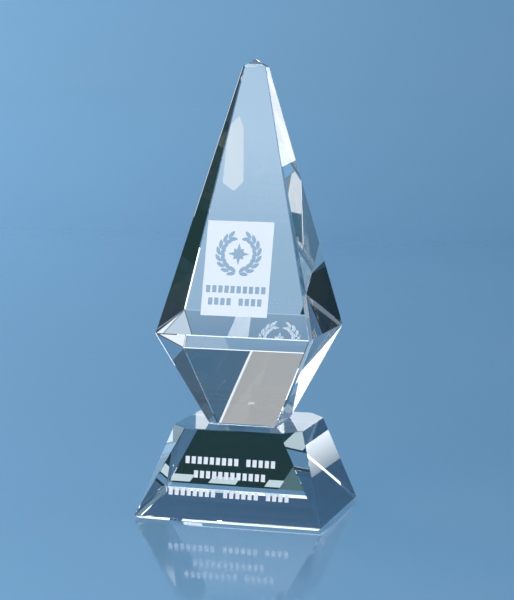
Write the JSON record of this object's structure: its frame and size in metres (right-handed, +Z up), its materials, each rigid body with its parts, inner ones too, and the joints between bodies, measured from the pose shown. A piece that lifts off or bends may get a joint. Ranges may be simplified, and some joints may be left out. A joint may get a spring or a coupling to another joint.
{
  "type": "crystal award",
  "caption": "Tapered cut-crystal spire bonded on a chamfered crystal base, with a frosted panel and frosted rows on the front faces.",
  "frame": {"origin": "centre of the footprint, on the surface the award stands on", "axes": "+Z up along the spire, front faces with the frosting towards -Y, +X to the right seen from the front"},
  "size_m": [0.104, 0.0914, 0.25],
  "materials": {
    "crystal": "optical crystal, cut flat and polished",
    "adhesive": "clear cured adhesive film",
    "frost": "sandblasted white frost"
  },
  "bodies": {
    "root": {"spire": "crystal", "base": "crystal", "bond_film": "adhesive", "frosted_panel": "frost", "frosted_lines": "frost"}
  },
  "joints": []
}
